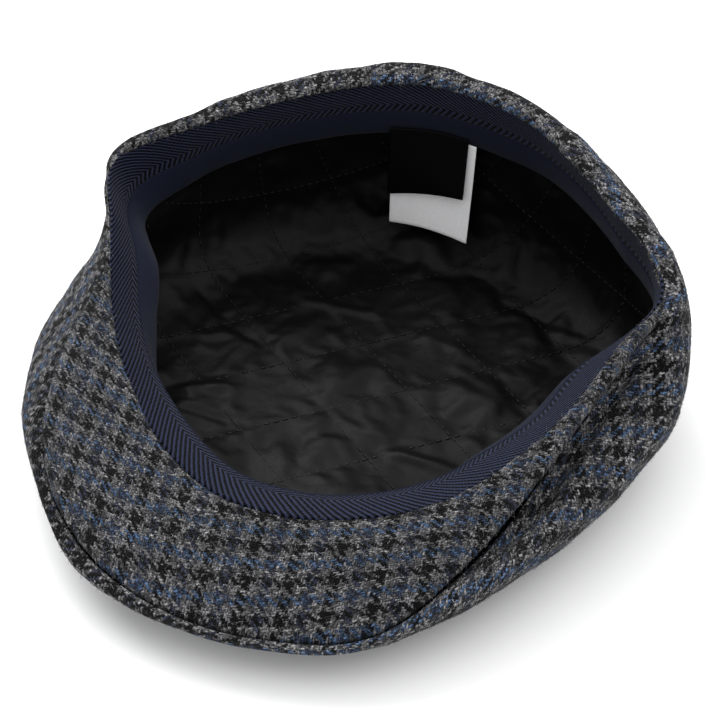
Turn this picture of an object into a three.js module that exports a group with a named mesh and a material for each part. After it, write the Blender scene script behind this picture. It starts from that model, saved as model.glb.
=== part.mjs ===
// A flat cap lying upside down on its crown: the head opening faces +Z and the peak points to -Y.
// Every piece follows the head opening, so its sections are taken at angles round +Z: 0 at the front
// (-Y), 90 at the wearer's right (+X), 180 at the back (+Y). Millimetres.
import * as THREE from "three";

// Thickness of each piece, the gaps left between neighbours, and how far the inside of the crown's
// own edge is flared from them.
const CROWN_CLOTH = 2;
const PEAK_SLAB = 3.5;
const BAND_CLOTH = 1.2;
const LINING_CLOTH = 2;
const LABEL_CLOTH = 0.8;
const GAP = 0.3;
const LINING_GAP = 1.6;
const EDGE_FLARE = 0.6;

// Sweatband: a herringbone strip and a plain strip inside it.
const HERRINGBONE_WIDTH = 16;
const PLAIN_WIDTH = 11;
const BAND_HEM = 5;

// Lining: how far it follows the band before it turns outward, the height of its widest point as a
// share of its wall, and the width of the turn round its foot.
const LINING_TUCK = 9;
const LINING_WIDE_AT = 0.42;
const LINING_SHOULDER = 0.5;
const LINING_TURN = 12;

// Peak: the angles that it spans, its bulge, how far its lower edge is pulled in, and how far its
// seat is below the edge of the band.
const PEAK_FROM = -76;
const PEAK_TO = 96;
const PEAK_BULGE = 2;
const PEAK_TAPER = 1.5;
const PEAK_SEAT = 0.8;

// Labels hanging in the back of the cap: the lean away from the wall, the extra lean of one side,
// and for each label the angle of its middle, its size and how far it stands off the band.
const LABEL_LEAN = 8;
const LABEL_TWIST = 3;
const BRAND_LABEL = { angle: 181, width: 28, length: 28, standOff: 2.1 };
const CARE_LABEL = { angle: 179, width: 32, length: 40, standOff: 0.8 };

// Mesh steps.
const ANGLE_STEP = 4;
const LINING_ANGLE_STEP = 6;
const WALL_STEPS = 7;
const TURN_STEPS = 5;
const BASE_RINGS = 3;
const PEAK_STEPS = 6;

// The cap's sections, one row for every 15 degrees. Radii are from the opening's middle and heights
// are above the surface that the cap lies on:
//   rimR, rimZ      edge of the head opening
//   edgeR, edgeZ    where the crown's cloth starts: the peak's edge, or the rim where there is no peak
//   rollR, rollZ    pull of the crown's cloth as it leaves that edge, outward and upward
//   wideR, wideZ    widest point of the crown
//   shoulder        how upright the crown is above that, from 0, slanting, to 0.5, upright
//   turn            how round the crown turns under, from 0, a sharp lip, to 0.55, an ellipse
//   footR           edge of the flat that the crown lies on
//   slope, plain    slope of the sweatband's two strips below the horizontal, in degrees
//   liningR         widest point of the lining
const SECTION_STEP = 15;
const ROUND_TURN = 0.55;
const COLUMNS = [
  ...["rimR", "rimZ", "edgeR", "edgeZ", "rollR", "rollZ", "wideR", "wideZ"],
  ...["shoulder", "turn", "footR", "slope", "plain", "liningR"],
];
const SECTION_ROWS = [
  [94, 36.5, 127.5, 17, 2.5, 0.5, 129.8, 15, 0.5, 0.2, 98, 19, 70, 96], // front
  [92.2, 38, 124, 19, 3, 1, 126.5, 16, 0.5, 0.22, 97, 20, 70, 96],
  [90.5, 40.5, 108, 28, 5, 7, 118.5, 23, 0.5, 0.4, 94, 22, 70, 95],
  [87.3, 44.5, 96, 37, 7, 9, 111, 28, 0.5, 0.5, 90, 28, 58, 94],
  [86.9, 50.5, 94.5, 45.5, 7, 7, 107.5, 31, 0.5, 0.55, 86, 40, 52, 94],
  [87.5, 57, 95.5, 52, 6, 5, 106.5, 34, 0.5, 0.55, 84, 56, 62, 96],
  [92.2, 63.5, 97.5, 61, 8, 3, 108, 38, 0.5, 0.55, 83, 76, 80, 98], // wearer's right (+X)
  [94.5, 68, 94.5, 68, 11, 4, 109.5, 44, 0.5, 0.55, 83, 98, 102, 99],
  [86.2, 72.5, 86.2, 72.5, 10, 4, 106, 46, 0.5, 0.55, 82, 100, 104, 98],
  [82.5, 76.5, 82.5, 76.5, 9, 4, 101, 46, 0.5, 0.55, 80, 100, 102, 94],
  [83, 79.5, 83, 79.5, 9, 4, 98, 46, 0.5, 0.55, 78, 98, 100, 91],
  [82.5, 81.5, 82.5, 81.5, 10, 4, 97, 46, 0.5, 0.55, 77, 97, 99, 90],
  [80.5, 84, 80.5, 84, 11, 4, 97, 46, 0.5, 0.55, 76, 97, 99, 90], // back
  [81.2, 82, 81.2, 82, 11, 4, 97, 46, 0.5, 0.55, 77, 97, 99, 90],
  [82, 79.5, 82, 79.5, 10, 4, 98, 46, 0.5, 0.55, 79, 96, 98, 91],
  [85.2, 77, 85.2, 77, 9, 3, 100, 45, 0.5, 0.55, 81, 94, 96, 93],
  [94.1, 72.5, 94.1, 72.5, 7, 2, 104, 43, 0.5, 0.55, 83, 88, 92, 97],
  [104.3, 67.5, 104.3, 67.5, 4, 0, 106.5, 37, 0.4, 0.55, 86, 72, 66, 100],
  [94.7, 63, 95.5, 62.5, 2, -7, 111.5, 23, 0.3, 0.55, 89, 60, 42, 101], // wearer's left (-X)
  [90, 57, 92, 55.5, 4, -2, 117, 25, 0.35, 0.55, 92, 54, 34, 101],
  [87.4, 51, 109, 42, 4, 0.5, 121.5, 25, 0.4, 0.5, 95, 44, 50, 99],
  [89.7, 44.5, 123, 30, 3.5, 0.5, 126.5, 23, 0.5, 0.3, 97, 34, 62, 97],
  [93.4, 41, 128.5, 22, 3, 0.5, 131, 18.5, 0.5, 0.22, 98, 26, 70, 96],
  [96, 38, 129, 18, 2.5, 0.5, 131.2, 16, 0.5, 0.2, 98, 20, 70, 96],
];

const radians = THREE.MathUtils.degToRad;

// The section at any angle: a smooth closed curve through each column of the table.
function sectionAt(angle) {
  const count = SECTION_ROWS.length;
  const place = THREE.MathUtils.euclideanModulo(angle / SECTION_STEP, count);
  const first = Math.floor(place);
  const row = (k) => SECTION_ROWS[(first + k + count) % count];
  const t = place - first;
  const weights = [
    0.5 * (-t + 2 * t ** 2 - t ** 3),
    0.5 * (2 - 5 * t ** 2 + 3 * t ** 3),
    0.5 * (t + 4 * t ** 2 - 3 * t ** 3),
    0.5 * (-(t ** 2) + t ** 3),
  ];
  const section = {};
  COLUMNS.forEach((name, column) => {
    section[name] = weights.reduce((sum, w, k) => sum + w * row(k - 1)[column], 0);
  });
  return section;
}

// A point of a section's (radius, height) plane, in space.
function inSpace(angle, flat) {
  const a = radians(angle);
  return new THREE.Vector3(flat.x * Math.sin(a), -flat.x * Math.cos(a), flat.y);
}

// A wall from a starting point out to a widest point, round a turn and in along the base.
function wallProfile(start, pull, wide, shoulder, turn, foot) {
  const wall = new THREE.CubicBezierCurve(
    start,
    start.clone().add(pull),
    new THREE.Vector2(wide.x, wide.y + shoulder * (start.y - wide.y)),
    wide,
  );
  const bend = new THREE.CubicBezierCurve(
    wide,
    new THREE.Vector2(wide.x, wide.y - turn * (wide.y - foot.y)),
    new THREE.Vector2(foot.x + ROUND_TURN * (wide.x - foot.x), foot.y),
    foot,
  );
  const points = [...wall.getPoints(WALL_STEPS), ...bend.getPoints(TURN_STEPS).slice(1)];
  for (let k = 1; k < BASE_RINGS; k++) {
    points.push(new THREE.Vector2(foot.x * (1 - k / BASE_RINGS), foot.y));
  }
  return points;
}

// A bowl-shaped grid of points: one column for each angle, one row for each point of its profile.
function bowlGrid(step, profileAt) {
  const columns = [];
  for (let angle = 0; angle < 360; angle += step) {
    columns.push(profileAt(angle).map((flat) => inSpace(angle, flat)));
  }
  return columns[0].map((_, row) => columns.map((column) => column[row]));
}

// The same grid moved along its normals, which point out of the bowl.
function offsetGrid(grid, distance) {
  const columns = grid[0].length;
  return grid.map((ring, row) =>
    ring.map((point, j) => {
      const down = grid[Math.min(row + 1, grid.length - 1)][j]
        .clone()
        .sub(grid[Math.max(row - 1, 0)][j]);
      const along = ring[(j + 1) % columns].clone().sub(ring[(j + columns - 1) % columns]);
      const normal = down.cross(along).normalize();
      return point.clone().addScaledVector(normal, distance);
    }),
  );
}

// Collects faces over shared points into one closed geometry.
function makeSolid(build) {
  const positions = [];
  const index = [];
  const add = (point) => positions.push(...point.toArray()) / 3 - 1;
  const quad = (a, b, c, d) => index.push(a, b, c, a, c, d);
  build(add, quad, (a, b, c) => index.push(a, b, c));
  const geometry = new THREE.BufferGeometry();
  geometry.setAttribute("position", new THREE.Float32BufferAttribute(positions, 3));
  geometry.setIndex(index);
  geometry.computeVertexNormals();
  return geometry;
}

// A bowl with a thickness: both skins, the strip along its edge and a fan over each middle.
function bowlSolid(outer, inner) {
  return makeSolid((add, quad, triangle) => {
    const outside = outer.map((ring) => ring.map(add));
    const inside = inner.map((ring) => ring.map(add));
    const count = outside[0].length;
    const last = outer.length - 1;
    const outerMiddle = add(new THREE.Vector3(0, 0, outer[last][0].z));
    const innerMiddle = add(new THREE.Vector3(0, 0, inner[last][0].z));
    for (let j = 0; j < count; j++) {
      const k = (j + 1) % count;
      for (let row = 0; row < last; row++) {
        quad(outside[row][j], outside[row + 1][j], outside[row + 1][k], outside[row][k]);
        quad(inside[row][j], inside[row][k], inside[row + 1][k], inside[row + 1][j]);
      }
      quad(inside[0][j], outside[0][j], outside[0][k], inside[0][k]);
      triangle(outside[last][j], outerMiddle, outside[last][k]);
      triangle(inside[last][j], inside[last][k], innerMiddle);
    }
  });
}

// A ring whose section is a closed loop of points, given for each angle.
function ringSolid(sections) {
  return makeSolid((add, quad) => {
    const rings = sections.map((loop) => loop.map(add));
    rings.forEach((loop, j) => {
      const next = rings[(j + 1) % rings.length];
      loop.forEach((point, i) => {
        const k = (i + 1) % loop.length;
        quad(point, next[i], next[k], loop[k]);
      });
    });
  });
}

// A slab between two open grids of the same size.
function slabSolid(top, bottom) {
  return makeSolid((add, quad) => {
    const upper = top.map((row) => row.map(add));
    const lower = bottom.map((row) => row.map(add));
    const rows = upper.length - 1;
    const columns = upper[0].length - 1;
    for (let i = 0; i < rows; i++) {
      for (let j = 0; j < columns; j++) {
        quad(upper[i][j], upper[i][j + 1], upper[i + 1][j + 1], upper[i + 1][j]);
        quad(lower[i][j], lower[i + 1][j], lower[i + 1][j + 1], lower[i][j + 1]);
      }
      quad(upper[i][0], upper[i + 1][0], lower[i + 1][0], lower[i][0]);
      quad(upper[i][columns], lower[i][columns], lower[i + 1][columns], upper[i + 1][columns]);
    }
    for (let j = 0; j < columns; j++) {
      quad(upper[0][j], lower[0][j], lower[0][j + 1], upper[0][j + 1]);
      quad(upper[rows][j], upper[rows][j + 1], lower[rows][j + 1], lower[rows][j]);
    }
  });
}

// Crown: one tweed wall from the rim or the peak's edge, round the sides and flat across the base.
// Its own edge flares a little, clear of the sweatband and the peak.
function crownGeometry() {
  const outer = bowlGrid(ANGLE_STEP, (angle) => {
    const s = sectionAt(angle);
    const start = new THREE.Vector2(s.edgeR + GAP, s.edgeZ);
    const pull = new THREE.Vector2(s.rollR, s.rollZ);
    const wide = new THREE.Vector2(s.wideR, s.wideZ);
    return wallProfile(start, pull, wide, s.shoulder, s.turn, new THREE.Vector2(s.footR, 0));
  });
  const inner = offsetGrid(outer, -CROWN_CLOTH);
  inner[0] = inner[0].map((_, j) => {
    const s = sectionAt(j * ANGLE_STEP);
    return inSpace(
      j * ANGLE_STEP,
      new THREE.Vector2(s.edgeR + GAP + EDGE_FLARE, s.edgeZ - CROWN_CLOTH),
    );
  });
  return bowlSolid(outer, inner);
}

// Peak: an arched slab from the opening's edge to the crown's cloth.
function peakGeometry() {
  const top = [];
  const bottom = [];
  for (let angle = PEAK_FROM; angle <= PEAK_TO; angle += ANGLE_STEP) {
    const s = sectionAt(angle);
    const inner = new THREE.Vector2(s.rimR, s.rimZ - PEAK_SEAT);
    const edge = new THREE.Vector2(s.edgeR, s.edgeZ);
    const upper = [];
    for (let k = 0; k <= PEAK_STEPS; k++) {
      const t = k / PEAK_STEPS;
      const point = inner.clone().lerp(edge, t);
      point.y += PEAK_BULGE * 4 * t * (1 - t);
      upper.push(point);
    }
    top.push(upper.map((point) => inSpace(angle, point)));
    const lower = upper.map(
      (point, k) => new THREE.Vector2(point.x - (PEAK_TAPER * k) / PEAK_STEPS, point.y - PEAK_SLAB),
    );
    bottom.push(lower.map((point) => inSpace(angle, point)));
  }
  return slabSolid(top, bottom);
}

// The sweatband's visible face and its back at one angle, from the rim down.
function bandSection(angle) {
  const s = sectionAt(angle);
  const slopes = [radians(s.slope), radians(s.plain)];
  const down = slopes.map((a) => new THREE.Vector2(-Math.cos(a), -Math.sin(a)));
  const away = slopes.map((a) => new THREE.Vector2(Math.sin(a), -Math.cos(a)));
  const start = new THREE.Vector2(s.rimR - GAP - BAND_CLOTH * away[0].x, s.rimZ);
  const fold = start.clone().addScaledVector(down[0], HERRINGBONE_WIDTH);
  const end = fold.clone().addScaledVector(down[1], PLAIN_WIDTH);
  const middle = away[0].clone().add(away[1]).normalize();
  return {
    face: [start, fold, end],
    back: [
      start.clone().addScaledVector(away[0], BAND_CLOTH),
      fold.clone().addScaledVector(middle, BAND_CLOTH),
      end.clone().addScaledVector(away[1], BAND_CLOTH),
    ],
    end,
    down: down[1],
    away: away[1],
  };
}

function sweatbandGeometry() {
  const sections = [];
  for (let angle = 0; angle < 360; angle += ANGLE_STEP) {
    const { face, back } = bandSection(angle);
    const loop = [...face, ...back.reverse()];
    sections.push(loop.map((flat) => inSpace(angle, flat)));
  }
  return ringSolid(sections);
}

// Lining: a bowl of its own, sewn behind the band's lower edge.
function liningProfile(angle) {
  const s = sectionAt(angle);
  const band = bandSection(angle);
  const start = band.end
    .clone()
    .addScaledVector(band.down, -BAND_HEM)
    .addScaledVector(band.away, BAND_CLOTH + LINING_GAP);
  const baseZ = CROWN_CLOTH + GAP + LINING_CLOTH;
  const wide = new THREE.Vector2(s.liningR - LINING_CLOTH, baseZ + LINING_WIDE_AT * (start.y - baseZ));
  const pull = band.down.clone().multiplyScalar(LINING_TUCK);
  const foot = new THREE.Vector2(Math.min(s.footR, wide.x) - LINING_TURN, baseZ);
  return wallProfile(start, pull, wide, LINING_SHOULDER, ROUND_TURN, foot);
}

function liningGeometry() {
  const inner = bowlGrid(LINING_ANGLE_STEP, liningProfile);
  return bowlSolid(offsetGrid(inner, LINING_CLOTH), inner);
}

// A label: a strip hanging from the back of the band's lower edge, curved as the band is, leaning
// into the cap and a little twisted.
function labelGeometry({ angle, width, length, standOff }) {
  const half = THREE.MathUtils.radToDeg(width / 2 / bandSection(angle).end.x);
  const grid = (shift) =>
    [0, 0.5, 1].map((t) =>
      [-1, -0.5, 0, 0.5, 1].map((u) => {
        const { end } = bandSection(angle + u * half);
        const lean = radians(LABEL_LEAN - LABEL_TWIST * u);
        const r = end.x - standOff - t * length * Math.sin(lean);
        const flat = new THREE.Vector2(r - shift, end.y + 1 - t * length * Math.cos(lean));
        return inSpace(angle + (u * half * end.x) / r, flat);
      }),
    );
  return slabSolid(grid(LABEL_CLOTH), grid(0));
}

const cap = new THREE.Group();

function addPiece(name, geometry, color, roughness) {
  const material = new THREE.MeshStandardMaterial({ color, roughness, metalness: 0 });
  const mesh = new THREE.Mesh(geometry, material);
  mesh.name = name;
  cap.add(mesh);
}

addPiece("crown", crownGeometry(), "#4a4b50", 0.95);
addPiece("peak", peakGeometry(), "#55565b", 0.95);
addPiece("sweatband", sweatbandGeometry(), "#2b3350", 0.85);
addPiece("lining", liningGeometry(), "#1c1b1a", 0.45);
addPiece("label_brand", labelGeometry(BRAND_LABEL), "#111111", 0.6);
addPiece("label_care", labelGeometry(CARE_LABEL), "#e6e6e6", 0.6);

// The origin is under the middle of the cap, on the surface that it lies on.
const box = new THREE.Box3().setFromObject(cap);
const middle = box.getCenter(new THREE.Vector3());
cap.position.set(-middle.x, -middle.y, -box.min.z);

export default cap;
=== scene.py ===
import math

import bpy
import numpy as np
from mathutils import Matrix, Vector, noise


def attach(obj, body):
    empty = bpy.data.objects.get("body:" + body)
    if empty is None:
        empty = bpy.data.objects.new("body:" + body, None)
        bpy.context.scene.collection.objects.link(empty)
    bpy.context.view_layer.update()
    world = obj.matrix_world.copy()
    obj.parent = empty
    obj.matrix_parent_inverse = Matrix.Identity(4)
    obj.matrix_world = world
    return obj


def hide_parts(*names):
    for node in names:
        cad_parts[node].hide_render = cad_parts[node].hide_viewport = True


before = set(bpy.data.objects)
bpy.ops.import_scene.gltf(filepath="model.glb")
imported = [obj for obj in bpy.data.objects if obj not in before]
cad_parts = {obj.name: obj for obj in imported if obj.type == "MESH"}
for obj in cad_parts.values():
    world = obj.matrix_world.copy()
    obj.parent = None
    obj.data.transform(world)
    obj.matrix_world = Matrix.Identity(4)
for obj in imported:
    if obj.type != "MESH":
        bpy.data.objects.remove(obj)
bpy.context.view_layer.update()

MM = 0.001
OPENING_MIDDLE = np.array([2.614, 16.537])

# Thickness of each cloth.
TWEED_CLOTH = 1.6
BAND_CLOTH = 0.9
LINING_CLOTH = 0.7
LABEL_CLOTH = 0.5

# The sweatband's two strips, and how far below the rim the first one starts.
HERRINGBONE_WIDTH = 16.0
PLAIN_WIDTH = 11.0
BAND_DROP = 0.5

# Real spacing of the tweed's yarns, and the number of yarns in one repeat of its check.
TWEED_YARN = 0.83
CHECK_YARNS = 16

# Sections of the cap, one every 15 degrees, as radii and heights: the opening's rim; the edge of
# the peak, or of the crown where there is no peak; how far the wall rolls out and up from that
# edge; where it is widest; how full its shoulder and its turn to the base are; the base's radius;
# the slopes of the band's two strips in degrees; and the lining's radius.
COLUMNS = [
    *["rimR", "rimZ", "edgeR", "edgeZ", "rollR", "rollZ", "wideR", "wideZ"],
    *["shoulder", "turn", "footR", "slope", "plain", "liningR"],
]
SECTION_STEP = 15
SECTION_ROWS = [
    [94, 36.5, 127.5, 17, 2.5, 0.5, 129.8, 15, 0.5, 0.2, 98, 19, 70, 96],  # front
    [92.2, 38, 124, 19, 3, 1, 126.5, 16, 0.5, 0.22, 97, 20, 70, 96],
    [90.5, 40.5, 108, 28, 5, 7, 118.5, 23, 0.5, 0.4, 94, 22, 70, 95],
    [87.3, 44.5, 96, 37, 7, 9, 111, 28, 0.5, 0.5, 90, 28, 58, 94],
    [86.9, 50.5, 94.5, 45.5, 7, 7, 107.5, 31, 0.5, 0.55, 86, 40, 52, 94],
    [87.5, 57, 95.5, 52, 6, 5, 106.5, 34, 0.5, 0.55, 84, 56, 62, 96],
    [92.2, 63.5, 97.5, 61, 8, 3, 108, 38, 0.5, 0.55, 83, 76, 80, 98],  # wearer's right (+X)
    [94.5, 68, 94.5, 68, 11, 4, 109.5, 44, 0.5, 0.55, 83, 98, 102, 99],
    [86.2, 72.5, 86.2, 72.5, 10, 4, 106, 46, 0.5, 0.55, 82, 100, 104, 98],
    [82.5, 76.5, 82.5, 76.5, 9, 4, 101, 46, 0.5, 0.55, 80, 100, 102, 94],
    [83, 79.5, 83, 79.5, 9, 4, 98, 46, 0.5, 0.55, 78, 98, 100, 91],
    [82.5, 81.5, 82.5, 81.5, 10, 4, 97, 46, 0.5, 0.55, 77, 97, 99, 90],
    [80.5, 84, 80.5, 84, 11, 4, 97, 46, 0.5, 0.55, 76, 97, 99, 90],  # back
    [81.2, 82, 81.2, 82, 11, 4, 97, 46, 0.5, 0.55, 77, 97, 99, 90],
    [82, 79.5, 82, 79.5, 10, 4, 98, 46, 0.5, 0.55, 79, 96, 98, 91],
    [85.2, 77, 85.2, 77, 9, 3, 100, 45, 0.5, 0.55, 81, 94, 96, 93],
    [94.1, 72.5, 94.1, 72.5, 7, 2, 104, 43, 0.5, 0.55, 83, 88, 92, 97],
    [104.3, 67.5, 104.3, 67.5, 4, 0, 106.5, 37, 0.4, 0.55, 86, 72, 66, 100],
    [94.7, 63, 95.5, 62.5, 2, -7, 111.5, 23, 0.3, 0.55, 89, 60, 42, 101],  # wearer's left (-X)
    [90, 57, 92, 55.5, 4, -2, 117, 25, 0.35, 0.55, 92, 54, 34, 101],
    [87.4, 51, 109, 42, 4, 0.5, 121.5, 25, 0.4, 0.5, 95, 44, 50, 99],
    [89.7, 44.5, 123, 30, 3.5, 0.5, 126.5, 23, 0.5, 0.3, 97, 34, 62, 97],
    [93.4, 41, 128.5, 22, 3, 0.5, 131, 18.5, 0.5, 0.22, 98, 26, 70, 96],
    [96, 38, 129, 18, 2.5, 0.5, 131.2, 16, 0.5, 0.2, 98, 20, 70, 96],
]
# How far a round turn's handles reach, as a share of its width.
ROUND_TURN = 0.55

# Where the dressed cloth departs from those sections: measure, amount, angle and spread. The
# angles from -60 to 60 are counted either way from the front.
FRONT_END = 60
DRESSED_CHANGES = [
    ("rollZ", 3.2, 193, 34),
    ("rollZ", 3.6, 228, 8),
    ("rollZ", 3.2, 178, 11),
    ("rollR", 3.0, 252, 9),
    ("rollR", -3.5, 116, 15),
    ("rollR", -3.0, 104, 8),
    ("wideR", 3.0, 85, 10),
    ("wideR", -3.5, 116, 15),
    ("wideR", -1.5, 42, 26),
    ("wideR", -1.6, 8, 17),
    ("wideR", 2.3, -27, 10),
    ("wideZ", 1.2, 8, 17),
    ("footR", -10.5, 38, 29),
    ("turn", -0.12, 42, 26),
    ("edgeR", -1.5, 8, 15),
    ("slope", -18, 82, 13),
    ("slope", 7, 300, 15),
    ("slope", 7, 222, 22),
    ("slope", 7, 138, 20),
    ("plain", -12, 262, 6),
]

# The peak's strip keeps this much less of its width at the right, the cap's corner there stands
# out by this much, and the plain strip of the band is this much steeper at the left.
STRIP_NARROWED = 0.58
CORNER_OUT = 4.5
PLAIN_STEEPER = 27


# ---------------------------------------------------------------- the cap's sections


def solid_sections(angles):
    """The named measures of the solids' sections at these angles, each as one array."""
    table = np.array(SECTION_ROWS, float)
    place = np.mod(np.asarray(angles, float) / SECTION_STEP, len(table))
    first = np.floor(place).astype(int)
    t = place - first
    weights = [
        0.5 * (-t + 2 * t**2 - t**3),
        0.5 * (2 - 5 * t**2 + 3 * t**3),
        0.5 * (t + 4 * t**2 - 3 * t**3),
        0.5 * (-(t**2) + t**3),
    ]
    rows = sum(w[..., None] * table[(first + k - 1) % len(table)] for k, w in enumerate(weights))
    return {name: rows[..., k] for k, name in enumerate(COLUMNS)}


def sections(angles):
    """The same measures as the dressed cap has them: a sharper right corner, where the peak's strip
    is narrower and the sweatband leans further in, and a fuller left rim."""
    s = solid_sections(angles)
    around = np.mod(angles, 360)
    from_front = np.mod(around + 180, 360) - 180
    wide = 1 - STRIP_NARROWED * smooth(around, 42, 66) * (1 - smooth(around, 92, 102))
    corner = CORNER_OUT * bump_at(around, 94, 8)
    left_side = 2.8 * bump_at(around, 258, 13)
    s["edgeR"] = s["rimR"] + wide * (s["edgeR"] - s["rimR"]) + corner + left_side
    s["edgeZ"] = s["rimZ"] + wide * (s["edgeZ"] - s["rimZ"])
    s["rimR"] = s["rimR"] + corner + (left_side + 2.0 * bump_at(around, 300, 14))
    s["edgeR"] = np.maximum(s["edgeR"], s["rimR"])
    steeper = PLAIN_STEEPER * smooth(around, 266, 286) * (1 - smooth(around, 306, 335))
    s["plain"] = s["plain"] + steeper
    for name, amount, middle, spread in DRESSED_CHANGES:
        place = from_front if middle < FRONT_END else around
        s[name] = s[name] + amount * bump_at(place, middle, spread)
    return s


def flat(r, z):
    """Points (radius, height) from two arrays or numbers."""
    return np.stack(np.broadcast_arrays(np.asarray(r, float), np.asarray(z, float)), axis=-1)


def bezier(a, b, c, d, steps):
    """Cubic curves between arrays of flat points, sampled at the given parameters."""
    t = np.asarray(steps, float)[:, None]
    a, b, c, d = (p[:, None, :] for p in (a, b, c, d))
    return (1 - t) ** 3 * a + 3 * (1 - t) ** 2 * t * b + 3 * (1 - t) * t**2 * c + t**3 * d


def lengths(profiles):
    """Length along each profile up to each of its points."""
    steps = np.linalg.norm(np.diff(profiles, axis=1), axis=2)
    return np.concatenate([np.zeros((len(profiles), 1)), np.cumsum(steps, axis=1)], axis=1)


def around_opening(angles, r, z):
    """Points of the cap's frame, in millimetres, from angles, radii and heights."""
    a = np.radians(angles)
    x = OPENING_MIDDLE[0] + r * np.sin(a)
    y = OPENING_MIDDLE[1] - r * np.cos(a)
    return np.stack([x, y, z], axis=-1)


def in_space(angles, profiles):
    """The same for profiles of flat points, one at each angle."""
    return around_opening(angles[:, None], profiles[..., 0], profiles[..., 1])


def smooth(value, low, high):
    """A soft step from 0 at low to 1 at high."""
    t = np.clip((np.asarray(value, float) - low) / (high - low), 0, 1)
    return t * t * (3 - 2 * t)


def ripple(points, size, seed, octaves=2):
    """Smooth noise from -1 to 1 at points in millimetres, with features of the given size."""
    shift = Vector((seed * 17.3, seed * 5.9, seed * 11.1))
    flat_points = points.reshape(-1, 3) / size
    values = [noise.fractal(Vector(p) + shift, 0.8, 2.0, octaves) for p in flat_points]
    return np.array(values).reshape(points.shape[:-1])


def bump_at(value, middle, width):
    """A smooth hill of height 1 round a middle."""
    return np.exp(-(((value - middle) / width) ** 2))


# ---------------------------------------------------------------- making pieces


def read(items, name, width=1, kind=float):
    """One property of all of a mesh's vertices, corners or triangles, as an array."""
    values = np.empty(len(items) * width, kind)
    items.foreach_get(name, values)
    return values if width == 1 else values.reshape(-1, width)


def add_object(name, data):
    """A new object in the scene."""
    obj = bpy.data.objects.new(name, data)
    bpy.context.scene.collection.objects.link(obj)
    return obj


def select_only(obj):
    """Deselects everything, then selects one object and makes it active."""
    bpy.ops.object.select_all(action="DESELECT")
    obj.select_set(True)
    bpy.context.view_layer.objects.active = obj


def apply_modifier(obj, kind, **settings):
    """Adds a modifier with its settings and applies it."""
    select_only(obj)
    modifier = obj.modifiers.new(kind.title(), kind)
    for name, value in settings.items():
        setattr(modifier, name, value)
    bpy.ops.object.modifier_apply(modifier=modifier.name)


def cloth_grid(name, points, uv, wraps=False):
    """A Blender grid whose vertices are laid on the given points, with a cloth map in metres.

    points and uv are arrays of (columns, rows) in millimetres."""
    columns, rows = points.shape[:2]
    bpy.ops.object.select_all(action="DESELECT")
    bpy.ops.mesh.primitive_grid_add(x_subdivisions=columns - 1, y_subdivisions=rows - 1, size=1)
    obj = bpy.context.active_object
    obj.name = obj.data.name = name
    mesh = obj.data
    laid = points.transpose(1, 0, 2).reshape(-1, 3) * MM
    mesh.vertices.foreach_set("co", laid.ravel())
    corners = read(mesh.loops, "vertex_index", kind=int)
    laid_uv = uv.transpose(1, 0, 2).reshape(-1, 2)[corners] * MM
    mesh.uv_layers[0].name = "Cloth"
    mesh.uv_layers[0].data.foreach_set("uv", laid_uv.ravel())
    mesh.update()
    if wraps:
        weld(obj)
    return obj


def weld(obj, to_quads=False):
    """Merges points that lie on one another and, if asked, joins pairs of triangles."""
    select_only(obj)
    bpy.ops.object.mode_set(mode="EDIT")
    bpy.ops.mesh.select_all(action="SELECT")
    bpy.ops.mesh.remove_doubles(threshold=1e-6)
    if to_quads:
        flat_enough = math.radians(60)
        bpy.ops.mesh.tris_convert_to_quads(face_threshold=flat_enough, shape_threshold=flat_enough)
    bpy.ops.object.mode_set(mode="OBJECT")


def point_out(obj, towards):
    """Turns the faces round if they don't mostly point the way that towards gives at each one."""
    mesh = obj.data
    votes = sum((1 if f.normal.dot(towards(f.center)) > 0 else -1) for f in mesh.polygons)
    if votes < 0:
        mesh.flip_normals()
        mesh.update()


def from_axis(centre):
    """Away from the cap's upright axis, or down where the cloth lies under it."""
    return Vector((centre.x, centre.y - OPENING_MIDDLE[1] * MM, -0.02))


def finish_piece(obj, material, slot, *nodes):
    """Smooth shading, the material, the piece hung under the cap's root, and the solids it stands for
    hidden.
    """
    select_only(obj)
    bpy.ops.object.shade_smooth()
    obj.data.materials.clear()
    obj.data.materials.append(material)
    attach(obj, "root")
    if nodes:
        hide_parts(*nodes)
    return obj


def seeds_on(obj, count, rng, keep):
    """Random places on a mesh: their points, normals and cloth map. keep gives a weight to each
    triangle from its middle and normal."""
    mesh = obj.data
    mesh.calc_loop_triangles()
    corners = read(mesh.loop_triangles, "vertices", 3, int)
    loops = read(mesh.loop_triangles, "loops", 3, int)
    co = read(mesh.vertices, "co", 3)
    uv = read(mesh.uv_layers["Cloth"].data, "uv", 2)
    a, b, c = (co[corners[:, k]] for k in range(3))
    ua, ub, uc = (uv[loops[:, k]] for k in range(3))
    cross = np.cross(b - a, c - a)
    area = np.linalg.norm(cross, axis=1)
    normal = cross / np.maximum(area, 1e-12)[:, None]
    weight = area * keep((a + b + c) / 3, normal)
    pick = rng.choice(len(area), size=count, p=weight / weight.sum())
    s, t = rng.random(count), rng.random(count)
    over = s + t > 1
    s[over], t[over] = 1 - s[over], 1 - t[over]
    s, t = s[:, None], t[:, None]
    points = a[pick] + s * (b - a)[pick] + t * (c - a)[pick]
    seeds_uv = ua[pick] + s * (ub - ua)[pick] + t * (uc - ua)[pick]
    return points, normal[pick], seeds_uv


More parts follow.
